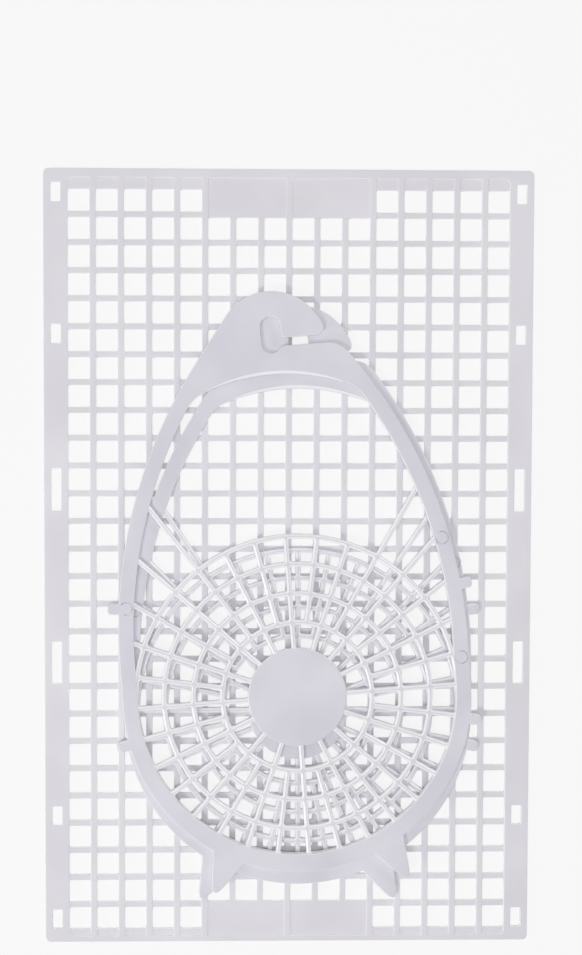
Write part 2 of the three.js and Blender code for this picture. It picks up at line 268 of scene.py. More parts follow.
# %% Sizes of the panel
PANEL_WIDTH = 240
PANEL_LENGTH = 382
PANEL_THICKNESS = 2  # the frame and the upright bars
FIELD_THICKNESS = 1.4  # the cross bars and the plates
PANEL_CORNER = 2.5
HOLE_SIZE = 10.65
HOLE_CORNER = 0.7
UPRIGHT_BAR = 3.05  # width of the bars between columns
CROSS_BAR = 2.99  # width of the bars between rows
COLUMNS = 16
ROWS = 27
GRID_SHIFT = -1.75  # the holes sit nearer to the lower end
UPPER_BAND = 4.5  # width of the frame at the upper end
LOWER_BAND = 2.8  # and at the lower end
FIELD_CORNER = 2.2
PLATE_COLUMNS = 6  # holes that a plate stands in for
ROOT = 1  # how far bars run into what holds them

column_pitch = HOLE_SIZE + UPRIGHT_BAR
row_pitch = HOLE_SIZE + CROSS_BAR
grid_left = -((COLUMNS - 1) * column_pitch + HOLE_SIZE) / 2
grid_top = GRID_SHIFT + ((ROWS - 1) * row_pitch + HOLE_SIZE) / 2
field_top = PANEL_LENGTH / 2 - UPPER_BAND
field_bottom = -PANEL_LENGTH / 2 + LOWER_BAND
plate_first = (COLUMNS - PLATE_COLUMNS) // 2
plate_last = plate_first + PLATE_COLUMNS - 1
trough_middle = grid_top - math.ceil(ROWS / 2) * row_pitch + CROSS_BAR / 2


def column_left(column):
    return grid_left + column * column_pitch


def row_top(row):
    return grid_top - row * row_pitch


print("hole pitch", round(column_pitch, 2), "by", round(row_pitch, 2), "mm")

# %% [markdown]
# The lattice is a plate with the holes left open. Its edges carry a radius of about half a
# millimetre, which is what lets the bars show a lighter and a darker side under soft light.

# %% Lattice with its holes and plates
LATTICE_EDGE = 0.45


def is_plate(column, row):
    return plate_first <= column <= plate_last and row in (0, ROWS - 1)


holes = [rectangle(column_left(column), column_left(column) + HOLE_SIZE,
                   row_top(row) - HOLE_SIZE, row_top(row), HOLE_CORNER)
         for column in range(COLUMNS) for row in range(ROWS) if not is_plate(column, row)]
field = rectangle(grid_left - ROOT, -grid_left + ROOT,
                  field_bottom - ROOT, field_top + ROOT, FIELD_CORNER)
lattice = moulding("lattice", field, holes,
                   lambda point: rounded(0, FIELD_THICKNESS, LATTICE_EDGE))
print(len(holes), "holes in the lattice")

# %% [markdown]
# The upright bars run the whole length, apart from those that would cross a plate. Each plate keeps
# the bars at its two sides and one rib down its middle.

# %% Upright bars
BAR_EDGE = 0.4


def upright_bar(column):
    """The bar on the left of a column of holes."""
    inside_plate = plate_first < column <= plate_last
    is_short = inside_plate and (column - plate_first) * 2 != PLATE_COLUMNS
    top = row_top(1) if is_short else field_top + ROOT
    bottom = row_top(ROWS - 2) - HOLE_SIZE if is_short else field_bottom - ROOT
    outline = [Vector(p) for p in [
        (column_left(column) - UPRIGHT_BAR, bottom), (column_left(column), bottom),
        (column_left(column), top), (column_left(column) - UPRIGHT_BAR, top)]]
    return moulding("bar", outline, [], lambda point: rounded(0, PANEL_THICKNESS, BAR_EDGE))


bars = [upright_bar(column) for column in range(1, COLUMNS)]
print(len(bars), "upright bars")

# %% [markdown]
# The slots lie where the tabs and feet of an end frame come through once the panel is wrapped round
# it, so their places are arc lengths along the bent panel.

# %% Places of the slots
RIM_RADIUS = 85.6  # the end frame's rim, which the panel wraps round
RIM_DROP = 1.1  # the rim's circle lies this far below the hub
FRAME_THICKNESS = 4
FOOT_OUTER = 46.8  # a foot's two sides, from the middle of the frame
FOOT_INNER = 32.3
FOOT_FLARE = 2.2  # the outer side leans out by this much
LOWER_TAB_ANGLE = 78.3  # degrees from straight down
TAB_WIDTH = 5.2
TROUGH_CLEARANCE = 0.6  # between the rim and the bent panel
TAB_PLAY = 2.1  # room in a slot at each end of a tab
FOOT_PLAY = 1.6  # and of a foot
OUTER_SLOT_EDGE = 11.6  # from the panel's ends to the middle of the last slots


def rim_drop(distance):
    """Depth of the rim's outer edge below the hub's level."""
    return RIM_DROP + math.sqrt(RIM_RADIUS ** 2 - distance ** 2)


wrap_radius = RIM_RADIUS + TROUGH_CLEARANCE + PANEL_THICKNESS / 2
foot_far = FOOT_OUTER + FOOT_FLARE / 2
foot_rise = rim_drop(FOOT_INNER) - rim_drop(foot_far)
foot_slot = math.hypot(foot_far - FOOT_INNER, foot_rise) + 2 * FOOT_PLAY
foot_arc = wrap_radius * (math.asin(foot_far / RIM_RADIUS) + math.asin(FOOT_INNER / RIM_RADIUS)) / 2
tab_arc = wrap_radius * math.radians(LOWER_TAB_ANGLE)
tab_slot = TAB_WIDTH + 2 * TAB_PLAY
end_slot = PANEL_LENGTH / 2 - OUTER_SLOT_EDGE
slot_places = [(side * end_slot, tab_slot) for side in (-1, 1)]
for reach, length in ((foot_arc, foot_slot), (tab_arc, tab_slot)):
    slot_places += [(trough_middle + side * reach, length) for side in (-1, 1)]
print("slots at", sorted(round(y, 1) for y, _ in slot_places), "mm along the panel")

# %% Raised frame with its slots
SLOT_CLEARANCE = 0.8  # a slot is wider than a frame is thick by this much
SLOT_CORNER = 0.6
FRAME_EDGE = 0.5

slot_half = (FRAME_THICKNESS + SLOT_CLEARANCE) / 2
slot_middle = (PANEL_WIDTH / 2 - grid_left) / 2
slots = [rectangle(side * slot_middle - slot_half, side * slot_middle + slot_half,
                   y - length / 2, y + length / 2, SLOT_CORNER)
         for y, length in slot_places for side in (-1, 1)]
border = rectangle(-PANEL_WIDTH / 2, PANEL_WIDTH / 2,
                   -PANEL_LENGTH / 2, PANEL_LENGTH / 2, PANEL_CORNER)
inside = rectangle(grid_left, -grid_left, field_bottom, field_top, FIELD_CORNER)
raised_frame = moulding("raised_frame", border, [inside, *slots],
                        lambda point: rounded(0, PANEL_THICKNESS, FRAME_EDGE))
print(len(slots), "slots in the raised frame")

# %% [markdown]
# ## Joining bodies
#
# Bars that cross, or a foot that grows out of a rim, are one piece of plastic. They are modelled as
# separate closed bodies that overlap, and a Boolean modifier then fuses them. Its Manifold method
# is quick and exact as long as every body is closed, which these are.

# %% Fuse the panel


def fused(name, *bodies):
    """One closed body from bodies that overlap. The bodies are used up."""
    first = bodies[0]
    for other in bodies[1:]:
        join = first.modifiers.new("join", "BOOLEAN")
        join.operation = "UNION"
        join.solver = "MANIFOLD"
        join.object = other
    whole = first.evaluated_get(bpy.context.evaluated_depsgraph_get())
    mesh = bpy.data.meshes.new_from_object(whole)
    mesh.name = name
    for body in bodies:
        bpy.data.meshes.remove(body.data)
    return placed(name, mesh)


panel = fused("panel", raised_frame, lattice, *bars)
print("the panel has", len(panel.data.polygons), "faces")

# %% [markdown]
# ## Cutting the panel into pieces
#
# The real panel is springy and wraps into a trough. In the imported model it is seven stiff strips on
# six hinges, so a rigid copy would show a kink and a gap at each hinge. Instead the panel is cut
# into six pieces, one over each hinge, which meet in the middle of the strips.
#
# A flat face can only curve where it has edges across the bend, so each piece is also cut crosswise
# four times in every row.

# %% Cut and shade a piece
BEND_SPACING = 3  # rows from one hinge to the next
CUTS_PER_ROW = 4
ON_THE_CUT = 1e-4  # points this near to a cut count as on it
SMOOTH_ANGLE = 38  # degrees; wall edges stay sharp, the flats of a rounded edge run together


def cut_across(bm, y, drop_below=False, drop_above=False):
    """Cuts a mesh along a line at y. Where one side is dropped, the open end is closed again."""
    parts = [*bm.verts, *bm.edges, *bm.faces]
    cut = bmesh.ops.bisect_plane(
        bm, geom=parts, dist=ON_THE_CUT, plane_co=(0, y, 0), plane_no=(0, 1, 0),
        clear_inner=drop_below, clear_outer=drop_above)
    if drop_below or drop_above:
        rim = [part for part in cut["geom_cut"] if isinstance(part, bmesh.types.BMEdge)]
        bmesh.ops.holes_fill(bm, edges=rim)


def smoothed(piece):
    """Shades rounded edges softly and keeps the large faces flat."""
    piece.data.shade_smooth()
    piece.data.set_sharp_from_angle(angle=math.radians(SMOOTH_ANGLE))
    weights = piece.modifiers.new("face_weights", "WEIGHTED_NORMAL")
    weights.keep_sharp = True


def panel_piece(name, start, stop, is_last):
    """The panel between two lines, given in rows from the trough's bottom."""
    low, high = sorted(trough_middle + row * row_pitch for row in (start, stop))
    bm = bmesh.new()
    bm.from_mesh(panel.data)
    if not (is_last and start < 0):
        cut_across(bm, low, drop_below=True)
    if not (is_last and start > 0):
        cut_across(bm, high, drop_above=True)
    for k in range(1, CUTS_PER_ROW * BEND_SPACING):
        cut_across(bm, low + k * row_pitch / CUTS_PER_ROW)
    bmesh.ops.scale(bm, verts=bm.verts, vec=(MM, MM, MM))
    piece = placed(name, mesh_from(bm, name))
    smoothed(piece)
    return piece


print("a cut every", round(row_pitch / CUTS_PER_ROW, 2), "mm")

# %% Lay a piece over each hinge
BENDS = 3  # on each side of the panel's middle

panel_pieces = []
for side, direction in (("upper", 1), ("lower", -1)):
    bodies = ["panel_centre"] + [f"panel_{side}_{k + 1}" for k in range(BENDS)]
    for k in range(BENDS):
        start, stop = (direction * BEND_SPACING * row for row in (k, k + 1))
        piece = panel_piece(f"mesh_panel_{side}_{k + 1}", start, stop, is_last=k == BENDS - 1)
        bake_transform(piece)
        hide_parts(*bodies[max(k, 1 if side == "lower" else 0):k + 2])
        panel_pieces.append(piece)
bpy.data.objects.remove(panel)
print([(piece.name, len(piece.data.polygons)) for piece in panel_pieces])

# %% [markdown]
# ## The end frame's outline
#
# An end frame is an egg-shaped rim, 4 mm thick. Its lower half is a circle, its sides run up in
# long curves, and the top closes into a hook: a seat for the washing line, a narrow mouth that the
# line is pressed through, and a beak over it. All curves meet smoothly, so the outline is worked
# out from circles that touch each other rather than drawn by hand.

# %% Sizes of the rim and the hook
RIM_WIDTH = 7.5
SIDE_RISE = 22  # the flanks start at this height above the hub
FLANK_RADIUS = 241
ARCH_TOP = 158.4  # height of the handle's arch above the hub
ARCH_RADIUS = 95
ARCH_CORNER = 5
SEAT_WALL = 10.5  # between the arch and the seat
SEAT_HEIGHT = 17.8
SEAT_WIDTH = 9.8
CROWN_WALL = 12.3  # over the seat
CROWN_RADIUS = 26.5
MOUTH_RISE = 3.3  # of the mouth above the seat's bottom
MOUTH_GAP = 3.8
MOUTH_CORNER = 2.6  # rounding where the mouth opens into the seat
BEAK_SHARE = 0.85  # part of the height over the mouth that rounds the beak
LIP_RADIUS = 6

flank_middle = RIM_RADIUS - FLANK_RADIUS
seat_bottom = ARCH_TOP + SEAT_WALL
seat_top = seat_bottom + SEAT_HEIGHT
crown_middle = seat_top + CROWN_WALL - CROWN_RADIUS
mouth_bottom = seat_bottom + MOUTH_RISE
mouth_top = mouth_bottom + MOUTH_GAP

# The straight shoulder touches the flank's circle and the crown's circle
crown_rise = crown_middle - SIDE_RISE
shoulder = math.hypot(flank_middle, crown_rise)
lean = (math.atan2(crown_rise, -flank_middle)
        - math.acos((FLANK_RADIUS - CROWN_RADIUS) / shoulder))
flank_end = Vector((flank_middle + FLANK_RADIUS * math.cos(lean),
                    SIDE_RISE + FLANK_RADIUS * math.sin(lean)))
crown_start = Vector((CROWN_RADIUS * math.cos(lean),
                      crown_middle + CROWN_RADIUS * math.sin(lean)))


def edge_at(height):
    """X of the right-hand outer edge at a height above the hub."""
    if height < flank_end.y:
        return flank_middle + math.sqrt(FLANK_RADIUS ** 2 - (height - SIDE_RISE) ** 2)
    share = (height - flank_end.y) / (crown_start.y - flank_end.y)
    return flank_end.x + share * (crown_start.x - flank_end.x)


print("the hook reaches", round(crown_middle + CROWN_RADIUS, 1), "mm above the hub")

# %% Outer outline with the hook
SMALL_STEP = 0.8  # between neighbouring points on a small circle
ROUND_STEP = 2.4  # on the rim's lower half
FLANK_STEP = 4  # on the long curves at the sides
SEAT_ENTRY_TURN = math.radians(40)  # of the seat's circle, taken up by the lip's inner rounding


def outer_outline():
    """The rim's outer edge, anticlockwise from the right-hand flank over the hook."""
    seat_radius = SEAT_WIDTH / 2
    seat_entry = math.asin((mouth_bottom - seat_bottom) / seat_radius - 1)
    entry_x = seat_radius * math.cos(seat_entry)
    lip_start = mouth_bottom - LIP_RADIUS
    flank_stop = min(lip_start, flank_end.y)
    beak_reach = BEAK_SHARE * (crown_start.y - mouth_top)
    beak_end = mouth_top + beak_reach
    flank_turn = math.asin((flank_stop - SIDE_RISE) / FLANK_RADIUS)
    seat_arc = arc(0, seat_bottom + seat_radius, seat_radius,
                   seat_entry - SEAT_ENTRY_TURN, -math.pi, SMALL_STEP)
    points = arc(flank_middle, SIDE_RISE, FLANK_RADIUS, 0, flank_turn, FLANK_STEP)
    points += bend((edge_at(lip_start), lip_start), (edge_at(mouth_bottom), mouth_bottom),
                   (edge_at(mouth_bottom) - LIP_RADIUS, mouth_bottom), count=8)
    points += bend((entry_x + MOUTH_CORNER, mouth_bottom), (entry_x, mouth_bottom), seat_arc[0])
    points += seat_arc
    points += arc(0, seat_top - seat_radius, seat_radius, math.pi, 0, SMALL_STEP)
    points += bend((seat_radius, mouth_top + MOUTH_CORNER), (seat_radius, mouth_top),
                   (seat_radius + MOUTH_CORNER, mouth_top))
    points += bend((edge_at(mouth_top) - beak_reach, mouth_top), (edge_at(mouth_top), mouth_top),
                   (edge_at(beak_end), beak_end), count=12)
    points += arc(0, crown_middle, CROWN_RADIUS, lean, math.pi - lean)
    points += arc(-flank_middle, SIDE_RISE, FLANK_RADIUS, math.pi - lean, math.pi, FLANK_STEP)
    points += arc(0, -RIM_DROP, RIM_RADIUS, math.pi, 2 * math.pi, ROUND_STEP)
    return points


print("outer outline:", len(outer_outline()), "points")

# %% [markdown]
# The opening inside the rim is drawn the same way and closed at the top by a flat arch, which is
# the handle. It can be set outwards, so that the web can later be hidden a little way inside the
# rim.

# %% Opening inside the rim


def inner_outline(grow):
    """The opening's outline, set outwards by so much."""
    radius, flank = RIM_RADIUS - RIM_WIDTH + grow, FLANK_RADIUS - RIM_WIDTH + grow
    arch_radius = ARCH_RADIUS + grow
    arch_middle = ARCH_TOP - ARCH_RADIUS
    across, up = -flank_middle, arch_middle - SIDE_RISE
    span = math.hypot(across, up)
    along = (flank ** 2 - arch_radius ** 2 + span ** 2) / (2 * span)
    flank_angle = math.atan2(up, across) + math.acos(along / flank)
    corner = Vector((flank_middle + flank * math.cos(flank_angle),
                     SIDE_RISE + flank * math.sin(flank_angle)))
    flank_stop = flank_angle - ARCH_CORNER / flank
    arch_start = math.atan2(corner.y - arch_middle, corner.x) + ARCH_CORNER / arch_radius
    right_flank = arc(flank_middle, SIDE_RISE, flank, 0, flank_stop, FLANK_STEP)
    arch = arc(0, arch_middle, arch_radius, arch_start, math.pi - arch_start)
    left_flank = arc(-flank_middle, SIDE_RISE, flank, math.pi - flank_stop, math.pi, FLANK_STEP)
    mirrored = Vector((-corner.x, corner.y))
    return [*right_flank, *bend(right_flank[-1], corner, arch[0]), *arch,
            *bend(arch[-1], mirrored, left_flank[0]), *left_flank,
            *arc(0, 0, radius, math.pi, 2 * math.pi, ROUND_STEP)]


print("inner outline:", len(inner_outline(0)), "points")

# %% [markdown]
# ## The rim
#
# The rim's edges have a radius of about 0.7 mm. Under the arch, where fingers hold the frame, the
# edge is rolled over much wider, and this roll runs out towards the two ends of the arch. Because
# every point asks for its own profile, one function of the point gives both.
#
# Where the mould's ejector pins pushed the frame out, a fine circle stays in the rim. The rim gets
# a round opening there, which a pad with a hair of clearance fills again.

# %% Places of the ejector marks
MARK_RADIUS = 3.3
MARKS = [(-1, 50.4), (1, 73.8), (1, 13.6)]  # side, height above the hub


def mark_middle(side, height):
    """The point in the middle of the rim's band, straight in from its outer edge at a height."""
    turn = math.asin(max(0, height - SIDE_RISE) / FLANK_RADIUS)
    edge = edge_at(max(height, SIDE_RISE))
    return Vector((side * (edge - RIM_WIDTH / 2 * math.cos(turn)),
                   height - RIM_WIDTH / 2 * math.sin(turn)))


def mark_circle(middle, radius):
    return arc(middle.x, middle.y, radius, 0, 2 * math.pi, SMALL_STEP)[:-1]


mark_middles = [mark_middle(side, height) for side, height in MARKS]
mark_holes = [mark_circle(middle, MARK_RADIUS) for middle in mark_middles]
print("ejector marks at", [tuple(round(x, 1) for x in middle) for middle in mark_middles])

# %% Rim with its rolled handle
RIM_EDGE = 0.7
HANDLE_ROLL = 2.2  # depth of the roll
HANDLE_WIDTH = 3.6  # and its width
HANDLE_HALF = 34  # the roll has run out at this distance from the middle
HANDLE_FADE = 0.7  # below 1, the roll keeps its size longer and then runs out faster
HANDLE_LOWEST = ARCH_TOP - 12  # the roll belongs to the arch between these heights
HANDLE_HIGHEST = ARCH_TOP + 1
MARK_EDGE = 0.1  # the edge beside an ejector mark is almost sharp


def divided(loop):
    """The loop with more points on its long sides, so that the edge radius can change there."""
    points = []
    for p, q in sides(loop):
        count = math.ceil((q - p).length / (2 * ARC_STEP))
        points += [p.lerp(q, k / count) for k in range(count)]
    return points


def rim_profile(point):
    """Edge profile of the rim: finer beside an ejector mark, rolled under the arch."""
    from_mark = min((point - middle).length for middle in mark_middles)
    depth = width = min(RIM_EDGE, max(MARK_EDGE, (from_mark - RIM_WIDTH / 2) / 2))
    if abs(point.x) < HANDLE_HALF and HANDLE_LOWEST < point.y < HANDLE_HIGHEST:
        share = math.cos(math.pi / 2 * point.x / HANDLE_HALF) ** HANDLE_FADE
        depth += (HANDLE_ROLL - RIM_EDGE) * share
        width += (HANDLE_WIDTH - RIM_EDGE) * share
    return rounded(0, FRAME_THICKNESS, depth, width)


rim_openings = [divided(inner_outline(0)), *mark_holes]
rim = moulding("rim", divided(outer_outline()), rim_openings, rim_profile)
print("rim:", len(rim.data.polygons), "faces")

# %% [markdown]
# ## Feet and tabs
#
# Two feet below and four tabs at the sides go through the panel's slots. They start inside the
# rim's band, so that fusing leaves no seam.

# %% Feet and tabs
FOOT_DROP = 7.2  # below the rim's lowest point
FOOT_TIP_RISE = 3.4  # the tip's rounding starts this far up
TAB_LENGTH = 5.4
TAB_CORNER = 1.6
UPPER_TAB_HEIGHT = 49.7

foot_reach = RIM_RADIUS + RIM_DROP + FOOT_DROP


def plain_profile(point):
    return rounded(0, FRAME_THICKNESS, RIM_EDGE)


def foot(side):
    tip = -foot_reach
    tip_outer = FOOT_OUTER + FOOT_FLARE
    tip_inner = tip_outer - 2 * FOOT_TIP_RISE
    points = [(FOOT_OUTER, -rim_drop(FOOT_OUTER) + RIM_WIDTH / 2)]
    points += bend((tip_outer, tip + FOOT_TIP_RISE), (tip_outer, tip - FOOT_TIP_RISE),
                   (tip_inner, tip + FOOT_TIP_RISE), count=8)
    points += [(FOOT_INNER, -rim_drop(FOOT_INNER)),
               (FOOT_INNER, -rim_drop(FOOT_INNER) + RIM_WIDTH / 2)]
    return moulding("foot", [Vector((side * x, y)) for x, y in points], [], plain_profile)


def tab(side, height, angle):
    """A tab on the rim at a height, standing out at an angle above level."""
    edge = Vector((edge_at(height), height))
    if height < 0:
        edge = Vector((math.cos(angle), math.sin(angle))) * RIM_RADIUS
    turn = Matrix.Rotation(angle, 2)
    shape = rectangle(-RIM_WIDTH / 2, TAB_LENGTH, -TAB_WIDTH / 2, TAB_WIDTH / 2, TAB_CORNER)
    points = [edge + turn @ point for point in shape]
    return moulding("tab", [Vector((side * p.x, p.y)) for p in points], [], plain_profile)


lower_tab = math.radians(LOWER_TAB_ANGLE - 90)
upper_tab = math.asin((UPPER_TAB_HEIGHT - SIDE_RISE) / FLANK_RADIUS)
fittings = [foot(-1), foot(1)]
fittings += [tab(side, RIM_RADIUS * math.sin(lower_tab), lower_tab) for side in (-1, 1)]
fittings += [tab(side, UPPER_TAB_HEIGHT, upper_tab) for side in (-1, 1)]
print(len(fittings), "feet and tabs")

# %% Pads in the ejector marks
MARK_DEPTH = 1.6  # of the circle left by an ejector pin
MARK_GROOVE = 0.45  # its width


def ejector_pad(middle):
    """The pad inside an ejector mark, and the floor that joins it to the rim."""
    top = FRAME_THICKNESS - MARK_DEPTH
    floor = moulding("mark_floor", mark_circle(middle, MARK_RADIUS + 2 * MARK_GROOVE), [],
                     lambda point: rounded(FOOT_ROUND, top, FOOT_ROUND))
    pad = moulding("mark_pad", mark_circle(middle, MARK_RADIUS - MARK_GROOVE), [],
                   lambda point: rounded(top / 2, FRAME_THICKNESS, MARK_EDGE))
    return [floor, pad]


fittings += [body for middle in mark_middles for body in ejector_pad(middle)]
print(len(fittings), "bodies to fuse with the rim")

# %% [markdown]
# ## The web
#
# Four rings and thirty-two spokes fill the lower part of the frame round a flat hub. Every second
# spoke starts at the first ring, and the spokes under the handle stop at the last one. Each rib has
# steep walls and sloping shoulders, wide at the bottom and narrow at the top, so that the mould can
# open. The hub stands a little higher, so its round edge runs past the ends of the spokes.
#
# Thirty-six crossing ribs could be fused one by one, but then every crossing has sharp creases. It
# is easier to think of the web as a plate and to leave its cells open: an opening that gets larger
# towards the top makes leaning ribs on all four sides at once, with a small fillet in each corner.
# Only the hub is a disc of its own, set into that plate.

# %% Cells between rings and spokes
HUB_RADIUS = 24.2
RING_SHARES = [0.43, 0.596, 0.764, 0.924]  # ring radii as parts of the rim's
RIB_WIDTH = 2.7
SPOKES = 32
HANDLE_SPOKES = 2  # on each side of upright, this many spokes stop at the last ring
CELL_STEP = 3  # between neighbouring points on a cell's curved sides

ring_radii = [share * RIM_RADIUS for share in RING_SHARES]
half_rib = RIB_WIDTH / 2


def spoke_angle(index):
    return math.pi / 2 + index * 2 * math.pi / SPOKES


def cell(inner, outer, first, last):
    """The opening between two radii and two spokes."""
    inner_gap, outer_gap = math.asin(half_rib / inner), math.asin(half_rib / outer)
    start, stop = spoke_angle(first), spoke_angle(last)
    return [*arc(0, 0, outer, start + outer_gap, stop - outer_gap, CELL_STEP),
            *arc(0, 0, inner, stop - inner_gap, start + inner_gap, CELL_STEP)]


cells = [cell(HUB_RADIUS, ring_radii[0] - half_rib, k, k + 2) for k in range(0, SPOKES, 2)]
for inner, outer in zip(ring_radii, ring_radii[1:]):
    cells += [cell(inner + half_rib, outer - half_rib, k, k + 1) for k in range(SPOKES)]
print(len(cells), "cells inside the last ring")

# %% [markdown]
# Beyond the last ring the cells end at the rim, so they are clipped by the rim's inner outline, set
# a little way into the rim's band. The rim is convex there, so each cell is trimmed against one
# side of the outline after another. The largest of these cells is the opening under the handle.

# %% Cells between the last ring and the rim
RIM_HIDE = 1.2  # how far the cells reach in under the rim
FAR = 190  # beyond the frame's top
SMALLEST_CELL = 8  # square millimetres


def clipped(loop, window):
    """The part of a loop inside a convex window that runs anticlockwise."""
    for a, b in sides(window):
        depths = [(b - a).cross(p - a) for p in loop]
        kept = []
        for k, (p, depth) in enumerate(zip(loop, depths)):
            before, before_depth = loop[k - 1], depths[k - 1]
            if (depth >= 0) != (before_depth >= 0):
                kept.append(before.lerp(p, before_depth / (before_depth - depth)))
            if depth >= 0:
                kept.append(p)
        loop = kept
        if not loop:
            break
    return loop


window = facing(inner_outline(RIM_HIDE), 1)
first_long = HANDLE_SPOKES + 1
last_ring = ring_radii[-1] + half_rib
outer_cells = [cell(last_ring, FAR, -first_long, first_long)]
outer_cells += [cell(last_ring, FAR, k, k + 1) for k in range(first_long, SPOKES - first_long)]
outer_cells = [clipped(loop, window) for loop in outer_cells]
outer_cells = [loop for loop in outer_cells if len(loop) > 2 and abs(area(loop)) > SMALLEST_CELL]
print(len(outer_cells), "cells outside it")

# %% Web plate with leaning ribs
WEB_BOTTOM = 0.5
WEB_TOP = 3.2
HUB_TOP = 3.6  # the hub stands a little higher than the ribs
HUB_EDGE = 0.8
HUB_COVER = 0.12  # the hub covers the inner ends of the cells by this much
RIB_LEAN = 1.1  # each side of a rib leans in by this much from bottom to top
RIB_SIDE = [(0, 0), (0.2, 0.75), (1, 1)]  # parts of the lean and the height: wall and shoulder
WEB_ROOT = 4  # the web runs this deep into the rim
CELL_CORNER = 0.7
CORNER_TURN = 30  # degrees; a bend of less than this isn't a corner
CORNER_SHARE = 0.45  # the most of a side that one rounded corner takes up


def softened(loop):
    """The loop with its corners cut round."""
    points = []
    for before, here, after in corners(loop):
        a, b = here - before, after - here
        if a.angle(b, 0) < math.radians(CORNER_TURN):
            points.append(here)
            continue
        reach = min(CELL_CORNER, CORNER_SHARE * a.length, CORNER_SHARE * b.length)
        points += bend(here - a.normalized() * reach, here, here + b.normalized() * reach, count=3)
    return points


def web_profile(point):
    height = WEB_TOP - WEB_BOTTOM
    return [(RIB_LEAN * inward, WEB_BOTTOM + height * upward) for inward, upward in RIB_SIDE]


openings = [softened(facing(loop, 1)) for loop in cells + outer_cells]
web = moulding("web", inner_outline(WEB_ROOT), openings, web_profile)
hub = moulding("hub", arc(0, 0, HUB_RADIUS + HUB_COVER, 0, 2 * math.pi), [],
               lambda point: rounded(WEB_BOTTOM + HUB_COVER, HUB_TOP, HUB_EDGE))
end_frame = fused("end_frame", rim, web, hub, *fittings)
end_frame.data.transform(Matrix.Scale(MM, 4))
print("end frame:", len(end_frame.data.polygons), "faces")

# %% [markdown]
# ## Placing the two frames
#
# Both frames come out of the same mould, so both pieces share one shape. Each lies on the layer
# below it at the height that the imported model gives, and the front one is turned a few degrees.

# %% Lay the frames on the panel
FRAME_PLACES = {  # hub's X, feet's height above the panel's lower end, turn in degrees
    "rear_end": (4.9, 22.7, 0.1),
    "front_end": (4.5, 30, 4.4),
}


def lay_frame(node, across, feet, turn):
    piece = placed(f"{node}_frame", end_frame.data.copy())
    hub_y = -PANEL_LENGTH / 2 + feet + foot_reach
    piece.location = (across * MM, hub_y * MM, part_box(node)[0].z)
    piece.rotation_euler.z = math.radians(turn)
    smoothed(piece)
    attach(piece, node)
    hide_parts(node)
    return piece


end_frames = [lay_frame(node, *place) for node, place in FRAME_PLACES.items()]
bpy.data.objects.remove(end_frame)
print([piece.name for piece in end_frames])

# %% [markdown]
# ## Moulded polypropylene
#
# All three mouldings are white polypropylene, a waxy plastic in a cool off-white with a soft, broad
# gloss. The flat faces come from spark-eroded mould faces, which leave a fine matt grain. The panel
# and the ribs' tops are painted in a lighter copy of the same colour: painted light that stands in
# for the light coming through thin plastic. The walls, the ribs' leaning sides and the edges were
# polished so that the moulding slides out, which makes them smoother. Their almost pure white is a
# painted highlight, which draws a fine light line along every edge. The plastic cools unevenly,
# which shows as faint clouds in tone and as shallow sink marks.
#
# A painted image could hold all that, but noise textures need no unwrapping and have no seams.
# Their scales come from real sizes: a noise texture of scale 1 has features about one metre across
# here, so a feature of so many millimetres needs a scale of 1000 divided by that size.

# %% Node helper and colours


def linear(code):
    """An sRGB hex colour as linear RGBA."""
    shares = [int(code[k:k + 2], 16) / 255 for k in (1, 3, 5)]
    return [s / 12.92 if s <= 0.04045 else ((s + 0.055) / 1.055) ** 2.4 for s in shares] + [1]


def add(tree, kind, links=(), **settings):
    """Adds a node. Settings name properties or inputs, and links pair an input with an output."""
    node = tree.nodes.new(kind)
    for name, value in settings.items():
        if hasattr(node, name):
            setattr(node, name, value)
        else:
            node.inputs[name.replace("_", " ")].default_value = value
    for name, source in links:
        tree.links.new(source, node.inputs[name])
    return node


print("cool white", [round(share, 3) for share in linear("#D9D8E0")])

# %% Polypropylene: thick, thin with painted light, polished with painted highlight
CLOUD_SIZE = 45  # faint clouds in tone from uneven cooling
CLOUD_FROM, CLOUD_TO = 0.35, 0.65  # the noise's values at which the clouds begin and end
SINK_SIZE = 14  # shallow sink marks
SINK_DEPTH = 0.15
SINK_STRENGTH = 0.35
GRAIN_SIZE = 0.6  # the mould's grain, drawn about three times as coarse as it is so that it shows
GRAIN_STRENGTH = 0.3
PLASTIC_IOR = 1.49
COLOUR_A, COLOUR_B, COLOUR_RESULT = 6, 7, 2  # the Mix node's sockets for colours


